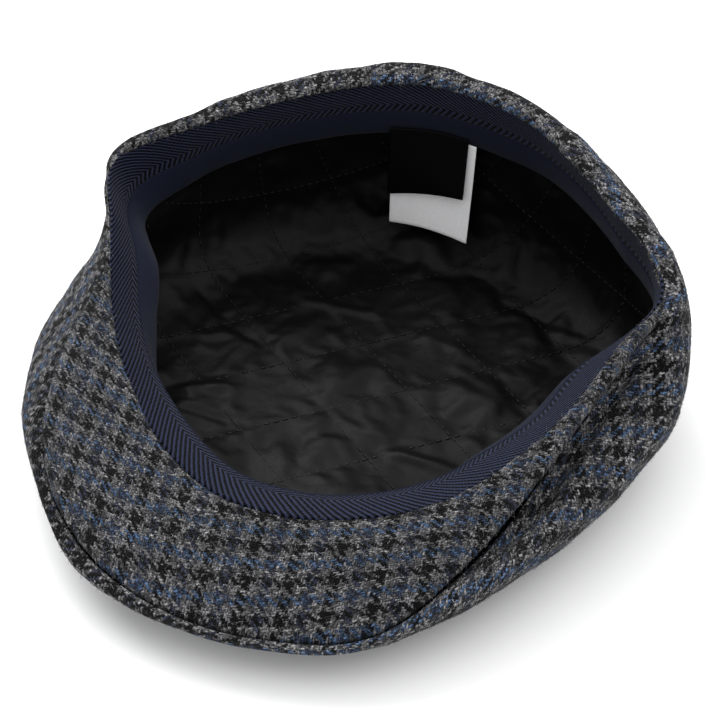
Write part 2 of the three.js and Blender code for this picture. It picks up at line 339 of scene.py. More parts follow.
def build_fibres(name, source, material, count, seed, keep):
    """Loose wool fibres that lie over the tweed: short bent ribbons, each in its yarn's colour."""
    rng = np.random.default_rng(seed)
    root, normal, uv = seeds_on(source, count, rng, keep)
    root, uv = root / MM, uv / MM
    side = np.cross(normal, rng.normal(size=(count, 3)))
    side /= np.linalg.norm(side, axis=1)[:, None]
    other = np.cross(normal, side)
    length = rng.uniform(0.8, 2.6, count)[:, None]
    lift = rng.uniform(0.05, 0.45, count)[:, None]
    bend = rng.normal(0, 0.3, count)[:, None]
    tip = rng.uniform(-0.1, 0.8, count)[:, None]
    middle = root + normal * lift + side * length * 0.5 + other * bend
    end = root + normal * tip * lift * 2 + side * length + other * bend * rng.normal(0.5, 1, (count, 1))
    half_width = 0.5 * rng.uniform(0.04, 0.075, (count, 1))
    across = (other + normal * rng.normal(0, 0.5, (count, 1))) * half_width
    rooted = root - normal * 0.1
    points = np.stack([p + sign * across for p in (rooted, middle, end) for sign in (-1, 1)], axis=1)
    first = 6 * np.arange(count)[:, None]
    faces = np.stack([first + np.array(q) for q in ((0, 1, 3, 2), (2, 3, 5, 4))], axis=1)
    mesh = bpy.data.meshes.new(name)
    mesh.from_pydata((points.reshape(-1, 3) * MM).tolist(), [], faces.reshape(-1, 4).tolist())
    layer = mesh.uv_layers.new(name="Cloth")
    layer.data.foreach_set("uv", (np.repeat(uv, 8, axis=0) * MM).ravel())
    finish_piece(add_object(name, mesh), material, "tweed")


# ---------------------------------------------------------------- materials

BUMP = "ShaderNodeBump"
MAP_RANGE = "ShaderNodeMapRange"
MATH = "ShaderNodeMath"
MIX = "ShaderNodeMix"
NOISE = "ShaderNodeTexNoise"
VECTOR_MATH = "ShaderNodeVectorMath"


def shade(hex_colour):
    """An sRGB hex colour as linear red, green, blue and alpha."""
    parts = [int(hex_colour[k : k + 2], 16) / 255 for k in (1, 3, 5)]
    linear = [p / 12.92 if p <= 0.04045 else ((p + 0.055) / 1.055) ** 2.4 for p in parts]
    return (*linear, 1.0)


def new_material(name, base, roughness, **sockets):
    """A material with its Principled shader, whose even values are set on the shader itself."""
    material = bpy.data.materials.new(name)
    material.use_nodes = True
    shader = material.node_tree.nodes["Principled BSDF"]
    shader.inputs["Base Color"].default_value = shade(base)
    shader.inputs["Roughness"].default_value = roughness
    for socket, value in sockets.items():
        shader.inputs[socket.replace("_", " ")].default_value = value
    return material, material.node_tree, shader


def add(tree, kind, inputs=(), **settings):
    """Adds a node. inputs are its first inputs in order, or a dict by name: links or plain values."""
    node = tree.nodes.new(kind)
    for name, value in settings.items():
        setattr(node, name, value)
    pairs = inputs.items() if isinstance(inputs, dict) else enumerate(inputs)
    for key, value in pairs:
        if isinstance(value, bpy.types.NodeSocket):
            tree.links.new(value, node.inputs[key])
        elif value is not None:
            node.inputs[key].default_value = value
    return node


def cloth_map(tree, scale):
    """The piece's own cloth map, scaled up from metres."""
    uv = add(tree, "ShaderNodeUVMap", uv_map="Cloth").outputs[0]
    return add(tree, VECTOR_MATH, [uv, None, None, scale], operation="SCALE").outputs[0]


def tweed_material():
    """Woollen tweed, woven 2/2 twill and milled: matt and hairy, its yarns half felted together.

    Warp and weft both run four light yarns, four black, four light and four blue, which gives black
    and blue squares joined by toothed half-tones."""
    material, tree, shader = new_material(
        "woollen_tweed", "#3a3a3b", 0.95, Sheen_Weight=0.06, Sheen_Roughness=0.5, Specular_IOR_Level=0.08
    )
    yarns = cloth_map(tree, 1000 / TWEED_YARN)
    # Milling pulls the yarns out of line, by up to about one yarn either way.
    felt = add(tree, NOISE, {"Vector": yarns, "Scale": 0.6, "Detail": 4.0, "Roughness": 0.75})
    pull = add(tree, VECTOR_MATH, [felt.outputs["Color"], (0.5, 0.5, 0.5)], operation="SUBTRACT")
    pull = add(tree, VECTOR_MATH, [pull.outputs[0], None, None, 2.2], operation="SCALE")
    moved = add(tree, VECTOR_MATH, [yarns, pull.outputs[0]], operation="ADD").outputs[0]
    split = add(tree, "ShaderNodeSeparateXYZ", [moved])
    warp, weft = split.outputs["X"], split.outputs["Y"]
    warp_number = add(tree, MATH, [warp], operation="FLOOR").outputs[0]
    weft_number = add(tree, MATH, [weft], operation="FLOOR").outputs[0]
    # The twill: over two yarns and under two, one yarn further on in each row.
    across = add(tree, MATH, [warp_number, weft_number], operation="ADD").outputs[0]
    step = add(tree, MATH, [across, 4.0], operation="FLOORED_MODULO").outputs[0]
    warp_up = add(tree, MATH, [step, 1.5], operation="LESS_THAN").outputs[0]
    colours = []
    warp_colours = ("#5f5e60", "#030303", "#5b5a5c", "#282c3a")
    weft_colours = ("#646364", "#030303", "#605f61", "#384a63")
    for number, yarns_of in ((warp_number, warp_colours), (weft_number, weft_colours)):
        place = add(tree, MATH, [number, float(CHECK_YARNS)], operation="FLOORED_MODULO").outputs[0]
        place = add(tree, MATH, [place, 1.0 / CHECK_YARNS, 0.5 / CHECK_YARNS], operation="MULTIPLY_ADD")
        ramp = add(tree, "ShaderNodeValToRGB", [place.outputs[0]])
        ramp.color_ramp.interpolation = "CONSTANT"
        for k, colour in enumerate(yarns_of):
            at = k / len(yarns_of)
            stop = ramp.color_ramp.elements[0] if k == 0 else ramp.color_ramp.elements.new(at)
            stop.position = at
            stop.color = shade(colour)
        last = ramp.color_ramp.elements[len(yarns_of)]
        last.position = 1.0
        last.color = shade(yarns_of[-1])
        colours.append(ramp.outputs[0])
    on_top = {"Factor": warp_up, "A": colours[1], "B": colours[0]}
    woven = add(tree, MIX, on_top, data_type="RGBA").outputs["Result"]
    # Every float of a yarn takes the light in its own way: some stand out pale, some sink.
    on_top = {"Factor": warp_up, "A": weft_number, "B": warp_number}
    own = add(tree, MIX, on_top, data_type="FLOAT")
    float_number = add(tree, MATH, [across, 4.0], operation="DIVIDE").outputs[0]
    float_number = add(tree, MATH, [float_number], operation="FLOOR").outputs[0]
    each = add(tree, "ShaderNodeCombineXYZ", [own.outputs["Result"], float_number, warp_up])
    chance = add(tree, "ShaderNodeTexWhiteNoise", [each.outputs[0]])
    pale = add(tree, MAP_RANGE, [chance.outputs[0], 0.0, 1.0, 0.35, 1.7])
    # Each yarn is a ridge, highest in the middle of its float over two others.
    warp_part = add(tree, MATH, [warp], operation="FRACT").outputs[0]
    weft_part = add(tree, MATH, [weft], operation="FRACT").outputs[0]
    ridges = []
    for side, run, back in ((warp_part, weft_part, 0.0), (weft_part, warp_part, -2.0)):
        bent = add(tree, MATH, [side, math.pi], operation="MULTIPLY").outputs[0]
        bent = add(tree, MATH, [bent], operation="SINE").outputs[0]
        along = add(tree, MATH, [step, run], operation="ADD").outputs[0]
        along = add(tree, MATH, [along, back], operation="ADD").outputs[0]
        along = add(tree, MATH, [along, math.pi / 2], operation="MULTIPLY").outputs[0]
        along = add(tree, MATH, [along], operation="SINE").outputs[0]
        along = add(tree, MATH, [along, 0.55, 0.45], operation="MULTIPLY_ADD").outputs[0]
        ridges.append(add(tree, MATH, [bent, along], operation="MULTIPLY").outputs[0])
    on_top = {"Factor": warp_up, "A": ridges[1], "B": ridges[0]}
    ridge = add(tree, MIX, on_top, data_type="FLOAT")
    # Fibres: lighter and darker flecks from about one yarn's width down to a tenth of it. The same noise
    # raises the bumps, so the bright flecks are partly the fibres' own tone and partly painted highlight on
    # their crowns.
    hairs = add(tree, NOISE, {"Vector": yarns, "Scale": 0.85, "Detail": 4.0, "Roughness": 0.72})
    fleck_tone_and_glint = add(tree, MAP_RANGE, [hairs.outputs[0], 0.4, 0.63, 0.0, 2.2])
    cloud = add(tree, NOISE, {"Vector": yarns, "Scale": 0.06, "Detail": 2.0})
    cloudy = add(tree, MAP_RANGE, [cloud.outputs[0], 0.3, 0.7, 0.85, 1.15])
    # The colour also darkens towards the low sides of each ridge: painted shade between the yarns.
    yarn_gap_shade = add(tree, MAP_RANGE, [ridge.outputs[0], 0.0, 0.8, 0.2, 1.15])
    tone = add(tree, MATH, [fleck_tone_and_glint.outputs[0], cloudy.outputs[0]], operation="MULTIPLY")
    tone = add(tree, MATH, [tone.outputs[0], yarn_gap_shade.outputs[0]], operation="MULTIPLY")
    tone = add(tree, MATH, [tone.outputs[0], pale.outputs[0]], operation="MULTIPLY")
    toned = add(tree, VECTOR_MATH, {0: woven, "Scale": tone.outputs[0]}, operation="SCALE")
    # Loose pale fibres lie over every colour, also the black.
    stray = add(tree, NOISE, {"Vector": moved, "Scale": 0.62, "Detail": 5.0, "Roughness": 0.72})
    strays = add(tree, MAP_RANGE, [stray.outputs[0], 0.6, 0.67, 0.0, 0.85])
    over = {"Factor": strays.outputs[0], "A": toned.outputs[0], "B": shade("#aeadae")}
    coloured = add(tree, MIX, over, data_type="RGBA")
    tree.links.new(coloured.outputs["Result"], shader.inputs["Base Color"])
    rough = add(tree, MATH, [hairs.outputs[0], 0.6], operation="MULTIPLY")
    height = add(tree, MATH, [ridge.outputs[0], rough.outputs[0]], operation="ADD")
    bump = add(tree, BUMP, {"Height": height.outputs[0], "Strength": 0.9, "Distance": 0.0005})
    tree.links.new(bump.outputs[0], shader.inputs["Normal"])
    return material


def herringbone_material():
    """Navy cotton herringbone tape: long slanting ribs, and a narrow row of short ones that turns
    back along one edge. Cotton yarns are matt; their colour is painted dark in the grooves between the
    ribs, as shade."""
    material, tree, shader = new_material(
        "cotton_herringbone", "#141a2c", 0.85, Sheen_Weight=0.05, Specular_IOR_Level=0.02
    )
    # In millimetres: the ribs' spacing along the tape, drawn coarse enough to show; where they turn
    # back; the spacing of the yarns' crowns. Then how steeply each row of ribs slants.
    rib, turn_at, crowns = 2.45, 11.5, 0.8
    long_slant, short_slant = 1.66, -0.7
    mm = cloth_map(tree, 1000.0)
    split = add(tree, "ShaderNodeSeparateXYZ", [mm])
    along, across = split.outputs["X"], split.outputs["Y"]
    wobble = add(tree, NOISE, {"Vector": mm, "Scale": 0.5, "Detail": 2.0})
    out = add(tree, MATH, [across, turn_at], operation="MINIMUM").outputs[0]
    back = add(tree, MATH, [across, turn_at], operation="SUBTRACT").outputs[0]
    back = add(tree, MATH, [back, 0.0], operation="MAXIMUM").outputs[0]
    phase = add(tree, MATH, [out, long_slant, along], operation="MULTIPLY_ADD").outputs[0]
    phase = add(tree, MATH, [back, short_slant, phase], operation="MULTIPLY_ADD").outputs[0]
    phase = add(tree, MATH, [wobble.outputs[0], 0.9, phase], operation="MULTIPLY_ADD").outputs[0]
    ribs = add(tree, MATH, [phase, 2 * math.pi / rib], operation="MULTIPLY").outputs[0]
    ribs = add(tree, MATH, [ribs], operation="SINE").outputs[0]
    dots = add(tree, MATH, [across, 2 * math.pi / crowns], operation="MULTIPLY").outputs[0]
    dots = add(tree, MATH, [dots], operation="SINE").outputs[0]
    height = add(tree, MATH, [dots, 0.3, ribs], operation="MULTIPLY_ADD").outputs[0]
    # The colour follows the ribs' height: painted shade in the grooves, navy on the ribs.
    tone = add(tree, MAP_RANGE, [height, -0.35, 0.75, 0.0, 1.0])
    fibre = add(tree, NOISE, {"Vector": mm, "Scale": 3.0, "Detail": 3.0, "Roughness": 0.7})
    groove_shade_to_rib = {"Factor": tone.outputs[0], "A": shade("#020306"), "B": shade("#282d43")}
    mix = add(tree, MIX, groove_shade_to_rib, data_type="RGBA")
    fade = add(tree, MAP_RANGE, [fibre.outputs[0], 0.3, 0.7, 0.75, 1.25])
    fade_by = {0: mix.outputs["Result"], "Scale": fade.outputs[0]}
    toned = add(tree, VECTOR_MATH, fade_by, operation="SCALE")
    tree.links.new(toned.outputs[0], shader.inputs["Base Color"])
    bump = add(tree, BUMP, {"Height": height, "Strength": 0.7, "Distance": 0.00035})
    tree.links.new(bump.outputs[0], shader.inputs["Normal"])
    return material


def plain_tape_material():
    """The same navy cotton, woven plain: smoother and a little greyer, with fine lines across."""
    material, tree, shader = new_material(
        "cotton_tape", "#141828", 0.85, Sheen_Weight=0.05, Specular_IOR_Level=0.02
    )
    thread = 0.55
    mm = cloth_map(tree, 1000.0)
    split = add(tree, "ShaderNodeSeparateXYZ", [mm])
    lines = add(tree, MATH, [split.outputs["X"], 2 * math.pi / thread], operation="MULTIPLY").outputs[0]
    lines = add(tree, MATH, [lines], operation="SINE").outputs[0]
    rows = add(tree, MATH, [split.outputs["Y"], 2 * math.pi / thread], operation="MULTIPLY").outputs[0]
    rows = add(tree, MATH, [rows], operation="SINE").outputs[0]
    weave = add(tree, MATH, [lines, rows], operation="MULTIPLY").outputs[0]
    fibre = add(tree, NOISE, {"Vector": mm, "Scale": 2.2, "Detail": 4.0, "Roughness": 0.7})
    height = add(tree, MATH, [fibre.outputs[0], 2.0, weave], operation="MULTIPLY_ADD").outputs[0]
    # The colour is darker where the cloth lies lower: painted shade in the hollows of the weave and its
    # fibres.
    tone = add(tree, MAP_RANGE, [height, 0.0, 2.0, 0.0, 1.0])
    hollow_shade_to_crown = {"Factor": tone.outputs[0], "A": shade("#0e111a"), "B": shade("#1d2233")}
    mix = add(tree, MIX, hollow_shade_to_crown, data_type="RGBA")
    tree.links.new(mix.outputs["Result"], shader.inputs["Base Color"])
    bump = add(tree, BUMP, {"Height": height, "Strength": 0.35, "Distance": 0.0002})
    tree.links.new(bump.outputs[0], shader.inputs["Normal"])
    return material


def satin_material():
    """Black lining satin over thin wadding: a soft, broad shine that shows every pucker."""
    material, tree, shader = new_material("lining_satin", "#060505", 0.45, Specular_IOR_Level=0.1)
    mm = cloth_map(tree, 1000.0)
    # Its threads are far too fine to show: this is their cloudiness, 0.3 mm across and 2 mm along.
    thread = add(tree, "ShaderNodeMapping", {"Vector": mm, "Scale": (3.0, 0.5, 1.0)})
    grain = add(tree, NOISE, {"Vector": thread.outputs[0], "Scale": 1.0, "Detail": 3.0})
    soft = add(tree, NOISE, {"Vector": mm, "Scale": 0.16, "Detail": 3.0, "Roughness": 0.55})
    tone = add(tree, MAP_RANGE, [grain.outputs[0], 0.3, 0.7, 0.0, 1.0])
    dull_to_bright = {"Factor": tone.outputs[0], "A": shade("#060606"), "B": shade("#0b0a0a")}
    mix = add(tree, MIX, dull_to_bright, data_type="RGBA")
    tree.links.new(mix.outputs["Result"], shader.inputs["Base Color"])
    rough = add(tree, MAP_RANGE, [grain.outputs[0], 0.3, 0.7, 0.4, 0.52])
    tree.links.new(rough.outputs[0], shader.inputs["Roughness"])
    bump = add(tree, BUMP, {"Height": soft.outputs[0], "Strength": 0.35, "Distance": 0.0008})
    tree.links.new(bump.outputs[0], shader.inputs["Normal"])
    return material


def label_material(name, low, high, roughness, shine):
    """Woven polyester label tape: dense fine ribs with a satin shine."""
    material, tree, shader = new_material(name, high, roughness, Specular_IOR_Level=shine)
    mm = cloth_map(tree, 1000.0)
    # The ribs are 0.2 mm apart.
    thread = add(tree, "ShaderNodeMapping", {"Vector": mm, "Scale": (0.7, 5.0, 1.0)})
    grain = add(tree, NOISE, {"Vector": thread.outputs[0], "Scale": 1.0, "Detail": 2.0})
    # The colour is darker where the ribs lie lower: painted shade in their hollows.
    tone = add(tree, MAP_RANGE, [grain.outputs[0], 0.35, 0.65, 0.0, 1.0])
    hollow_shade_to_crown = {"Factor": tone.outputs[0], "A": shade(low), "B": shade(high)}
    mix = add(tree, MIX, hollow_shade_to_crown, data_type="RGBA")
    tree.links.new(mix.outputs["Result"], shader.inputs["Base Color"])
    bump = add(tree, BUMP, {"Height": grain.outputs[0], "Strength": 0.3, "Distance": 0.0001})
    tree.links.new(bump.outputs[0], shader.inputs["Normal"])
    return material


def thread_material(name, colour):
    """Polyester sewing thread: two plies, slightly shiny."""
    material, tree, shader = new_material(name, colour, 0.55, Specular_IOR_Level=0.4)
    place = add(tree, "ShaderNodeTexCoord").outputs["Object"]
    twist = add(tree, NOISE, {"Vector": place, "Scale": 2500.0, "Detail": 1.0})
    bump = add(tree, BUMP, {"Height": twist.outputs[0], "Strength": 0.3, "Distance": 0.0001})
    tree.links.new(bump.outputs[0], shader.inputs["Normal"])
    return material


def floor_material():
    """Matt white paper, with a trace of unevenness in how it takes the light."""
    material, tree, shader = new_material("white_paper", "#f4f4f4", 0.9, Specular_IOR_Level=0.1)
    place = add(tree, "ShaderNodeTexCoord").outputs["Object"]
    grain = add(tree, NOISE, {"Vector": place, "Scale": 3.0, "Detail": 2.0})
    rough = add(tree, MAP_RANGE, [grain.outputs[0], 0.0, 1.0, 0.85, 0.95])
    tree.links.new(rough.outputs[0], shader.inputs["Roughness"])
    return material


# ---------------------------------------------------------------- the crown

CROWN_COLUMNS = 320
FOLD_ROWS = 7
WALL_ROWS = 34
TURN_ROWS = 26
BASE_ROWS = 14
# The weave changes from the sides' to the top's this many rows into the turn.
TOP_SEAM_ROWS = 6
# The grids close at this angle, at the back, behind the labels.
WRAP_AT = 196.0

# The fold over the crown's edge: how far in from the edge its hidden end lies where there is no
# peak, how far out where there is one, how far down, and how far it rises before it turns over.
FOLD_IN = 2.4
FOLD_OUT = 0.5
FOLD_DOWN = 2.0
FOLD_RISE = 2.9

# The weave of the sides: how far it leans round the right side, where and over what spread, and
# how much closer its yarns lie there than on the flat.
BIAS_LEAN = 54
BIAS_AT = 80
BIAS_SPREAD = 47
WEAVE_CLOSE = 0.92

# Where the left side is pinched in just behind the peak's end: depth, angle, spread, distance down
# from the edge, and reach. Then the depth of the crease beside the peak at the right.
PINCHES = [
    (6.0, 264, 8, 19, 12),
    (3.0, 264, 4, 15, 7),
    (3.5, 263, 5, 28, 9),
]
CREASE_DEPTH = 5.0


def sink_beside_peak(angles):
    """How far the crown's cloth comes out below the peak's edge, at each side of the peak."""
    a = np.mod(angles, 360)
    right = (6.2 * smooth(a, 14, 46) + 5.8 * smooth(a, 38, 60)) * (1 - smooth(a, 80, 94))
    left = 2.6 * smooth(a, 284, 293) * (1 - smooth(a, 322, 340))
    return right + left


def crown_profiles(angles):
    """The crown's outer face: a fold over its own edge, the wall, the turn and the base."""
    s = sections(angles)
    on_peak = smooth(s["edgeR"] - s["rimR"], 0.3, 4.0)
    sink = sink_beside_peak(angles)
    start = flat(s["edgeR"] + 0.3 - 0.1 * sink, s["edgeZ"] - sink)
    wide = flat(s["wideR"], s["wideZ"])
    foot = flat(s["footR"], 0 * s["footR"])
    wall_a, wall_b = start, start + flat(s["rollR"] + 0.25 * sink, s["rollZ"] - 0.8 * sink)
    shoulder_z = s["wideZ"] + s["shoulder"] * (s["edgeZ"] - s["wideZ"])
    shoulder_z = np.minimum(shoulder_z, np.maximum(wall_b[:, 1] - 0.3, s["wideZ"] + 0.5))
    wall_c = flat(s["wideR"], shoulder_z)
    # The wall starts a little way down its curve, and the fold runs into it in the same direction.
    from_edge = 0.07
    steps = np.linspace(from_edge, 1, WALL_ROWS + 1)
    wall = bezier(wall_a, wall_b, wall_c, wide, steps)
    head = bezier(wall_a, wall_b, wall_c, wide, [from_edge, from_edge + 0.01])
    along = head[:, 1] - head[:, 0]
    along = along / np.linalg.norm(along, axis=1)[:, None]
    around = np.mod(angles, 360)
    past_peak = smooth(around, 86, 94) * (1 - smooth(around, 110, 130))
    under = 0.6 * sink + (s["edgeR"] - s["rimR"] + 1.7 * on_peak) * past_peak
    tuck_r = s["edgeR"] - FOLD_IN * (1 - on_peak) + FOLD_OUT * on_peak - under
    tuck = flat(tuck_r, s["edgeZ"] - FOLD_DOWN - 0.7 * on_peak - sink)
    rise = flat(0 * s["edgeR"], FOLD_RISE - 0.3 * on_peak)
    fold = bezier(tuck, tuck + rise, wall[:, 0] - 1.6 * along, wall[:, 0], np.linspace(0, 1, FOLD_ROWS + 1))
    turn_b = flat(s["wideR"], s["wideZ"] * (1 - s["turn"]))
    turn_c = flat(s["footR"] + ROUND_TURN * (s["wideR"] - s["footR"]), 0 * s["footR"])
    bend = bezier(wide, turn_b, turn_c, foot, np.linspace(0, 1, TURN_ROWS + 1))
    inward = np.linspace(1, 0, BASE_ROWS + 1)[1:]
    base = np.stack([flat(s["footR"] * k, 0 * s["footR"]) for k in inward], axis=1)
    return np.concatenate([fold, wall[:, 1:], bend[:, 1:], base], axis=1)


def side_map(angles, edge, run):
    """The cloth map of the crown's sides: laid along the edge, with the weave turned by a lean that
    grows round the right side, where the sides are cut from the bias."""
    around = np.mod(angles - WRAP_AT, 360) - (360 - WRAP_AT)
    lean = np.radians(BIAS_LEAN * bump_at(around, BIAS_AT, BIAS_SPREAD))
    step = np.linalg.norm(np.diff(edge, axis=0), axis=1)
    middle = (lean[1:] + lean[:-1]) / 2
    along = np.stack([np.cos(middle), -np.sin(middle)], axis=-1) * step[:, None]
    base = np.concatenate([np.zeros((1, 2)), np.cumsum(along, axis=0)])
    down = np.stack([np.sin(lean), np.cos(lean)], axis=-1)
    return WEAVE_CLOSE * (base[:, None] + run[..., None] * down[:, None])


def build_crown(tweed):
    """The crown: one sheet of tweed from the fold at its edge, down the sides and over the base."""
    angles = WRAP_AT + np.linspace(0, 360, CROWN_COLUMNS + 1)
    profiles = crown_profiles(angles)
    run = lengths(profiles)
    points = in_space(angles, profiles)
    s = sections(angles)
    side_uv = side_map(angles, points[:, FOLD_ROWS], run)
    a = np.radians(angles)[:, None]
    out = np.stack([np.sin(a), -np.cos(a)], axis=-1)
    top_uv = out * (run[:, -1:] - run)[..., None]
    seam_row = FOLD_ROWS + WALL_ROWS + TOP_SEAM_ROWS
    # Soft unevenness, less where the cloth is held by its edge and none where it lies flat.
    loose = smooth(run, 2, 16) * smooth(points[..., 2], 2.0, 12.0)
    push = 1.5 * ripple(points, 42, 1) * loose + 0.5 * ripple(points, 13, 2) * loose
    rim = 1 - smooth(s["edgeR"] - s["rimR"], 0.3, 4.0)[:, None]
    gathers = ripple(np.stack([points[:, 0, 0], points[:, 0, 1], 0 * angles], -1), 15, 3)[:, None]
    push = push + 0.9 * gathers * rim * smooth(run, 0.5, 4) * (1 - smooth(run, 10, 26))
    around = np.mod(angles, 360)[:, None]
    for yarn_gap_shade, angle, spread, down, reach in PINCHES:
        push = push - yarn_gap_shade * bump_at(around, angle, spread) * bump_at(run, down, reach)
    beside_peak = smooth(around, 30, 48) * (1 - smooth(around, 78, 90))
    push = push - CREASE_DEPTH * beside_peak * bump_at(run, 6, 4.5)
    points = points + push[..., None] * grid_normals(points)
    points[..., 2] = np.maximum(points[..., 2], 0.0)
    points[-1] = points[0]
    obj = cloth_grid("crown_tweed", points, side_uv)
    lay_top_uv(obj, top_uv, seam_row)
    weld(obj)
    point_out(obj, from_axis)
    build_fibres("crown_fibres", obj, tweed, 26000, 26084, lambda at, normal: at[:, 2] > 0.002)
    apply_modifier(obj, "SOLIDIFY", thickness=TWEED_CLOTH * MM, offset=-1.0, use_even_offset=False)
    finish_piece(obj, tweed, "tweed", "crown")
    return obj


def grid_normals(points):
    """Unit normals of a grid of points that wraps round, pointing out of a bowl."""
    around = np.roll(points[:-1], -1, axis=0) - np.roll(points[:-1], 1, axis=0)
    around = np.concatenate([around, around[:1]])
    down = np.gradient(points, axis=1)
    normal = np.cross(down, around)
    size = np.linalg.norm(normal, axis=-1, keepdims=True)
    return normal / np.maximum(size, 1e-9)


def lay_top_uv(obj, uv, from_row):
    """Gives the faces beyond a row of the grid another cloth map."""
    mesh = obj.data
    columns = uv.shape[0]
    values = uv.transpose(1, 0, 2).reshape(-1, 2)
    layer = mesh.uv_layers["Cloth"].data
    for face in mesh.polygons:
        if min(face.vertices) // columns >= from_row:
            for corner, vertex in zip(face.loop_indices, face.vertices):
                layer[corner].uv = values[vertex] * MM


# ---------------------------------------------------------------- the peak

# How far the peak's inner edge laps over the sweatband, the slope of its front in degrees, and how
# far its right end goes down under the crown's fold.
PEAK_LAP = 1.6
PEAK_SLOPE = 28
PEAK_END_DOWN = 3.5
# How the weave's rows lie on the peak: drawn together, turned, bowed, fanned, gathered forward, and
# moved on.
PEAK_ROWS_CLOSE = 1.88
PEAK_ROWS_TURN = 0.09
PEAK_ROWS_BOW = 0.0053
PEAK_ROWS_FAN = 0.0014
PEAK_ROWS_GATHER = 0.0027
PEAK_ROWS_ON = 1.1


def build_peak(tweed):
    """A copy of the peak's solid, rounded at its edges and a little uneven, with its cloth laid
    square to the cap over the arch."""
    select_only(bpy.data.objects["peak"])
    bpy.ops.object.duplicate()
    obj = bpy.context.active_object
    obj.name = obj.data.name = "peak_tweed"
    obj.parent = None
    obj.modifiers.clear()
    weld(obj, to_quads=True)
    apply_modifier(obj, "SUBSURF", levels=3, render_levels=3)
    mesh = obj.data
    co = read(mesh.vertices, "co", 3) / MM
    normals = np.array([v.normal[:] for v in mesh.vertices])
    push = 0.6 * ripple(co, 30, 5) + 0.25 * ripple(co, 9, 6)
    co = co + (0.35 + push)[:, None] * normals * smooth(normals[:, 2], -0.2, 0.6)[:, None]
    offset = co[:, :2] - OPENING_MIDDLE
    radius = np.linalg.norm(offset, axis=1)
    angle = np.degrees(np.arctan2(offset[:, 0], -offset[:, 1]))
    was, now = solid_sections(angle), sections(angle)
    share = (radius - was["rimR"]) / np.maximum(was["edgeR"] - was["rimR"], 3)
    widened = (now["edgeR"] - now["rimR"]) - (was["edgeR"] - was["rimR"])
    shift = now["rimR"] - was["rimR"] + share * widened
    # The inner edge laps over the sweatband's, and the right end goes under the crown's fold.
    lap = 1 - smooth(radius + shift - now["rimR"], 0.0, 5.0)
    shift = shift - PEAK_LAP * lap
    co[:, :2] += (shift / radius)[:, None] * offset
    co[:, 2] += share * (now["edgeZ"] - was["edgeZ"]) + 0.7 * PEAK_LAP * lap
    co[:, 2] -= PEAK_END_DOWN * smooth(angle, 84, 96)
    mesh.vertices.foreach_set("co", (co * MM).ravel())
    slope = math.cos(math.radians(PEAK_SLOPE))
    x, y = co[:, 0] - OPENING_MIDDLE[0], (co[:, 1] - OPENING_MIDDLE[1]) / slope
    rows = PEAK_ROWS_CLOSE * y - PEAK_ROWS_TURN * x - PEAK_ROWS_BOW * x**2
    rows = rows + PEAK_ROWS_FAN * x * y + PEAK_ROWS_GATHER * y**2 + PEAK_ROWS_ON
    uv = np.stack([x, rows], axis=-1)
    corners = read(mesh.loops, "vertex_index", kind=int)
    while mesh.uv_layers:
        mesh.uv_layers.remove(mesh.uv_layers[0])
    mesh.uv_layers.new(name="Cloth").data.foreach_set("uv", (uv[corners] * MM).ravel())
    mesh.update()
    build_fibres("peak_fibres", obj, tweed, 13000, 13077, lambda at, normal: normal[:, 2] > -0.2)
    finish_piece(obj, tweed, "tweed", "peak")
    return obj


# ---------------------------------------------------------------- the sweatband

BAND_COLUMNS = 360
HERRINGBONE_ROWS = 14
PLAIN_ROWS = 10
# How much the ribs are skewed where they lie flatter at the left and stand steeper at the front.
RIBS_FLATTER = 0.5
RIBS_STEEPER = 0.75


def band_lines(angles):
    """The band's visible face: its top, its fold and its lower edge, and the way down each strip."""
    s = sections(angles)
    slopes = [np.radians(s["slope"]), np.radians(s["plain"])]
    down = [flat(-np.cos(a), -np.sin(a)) for a in slopes]
    away = [flat(np.sin(a), -np.cos(a)) for a in slopes]
    top = flat(s["rimR"] - 0.3 - 1.2 * away[0][:, 0], s["rimZ"])
    fold = top + HERRINGBONE_WIDTH * down[0]
    end = fold + PLAIN_WIDTH * down[1]
    return top, fold, end, down, away


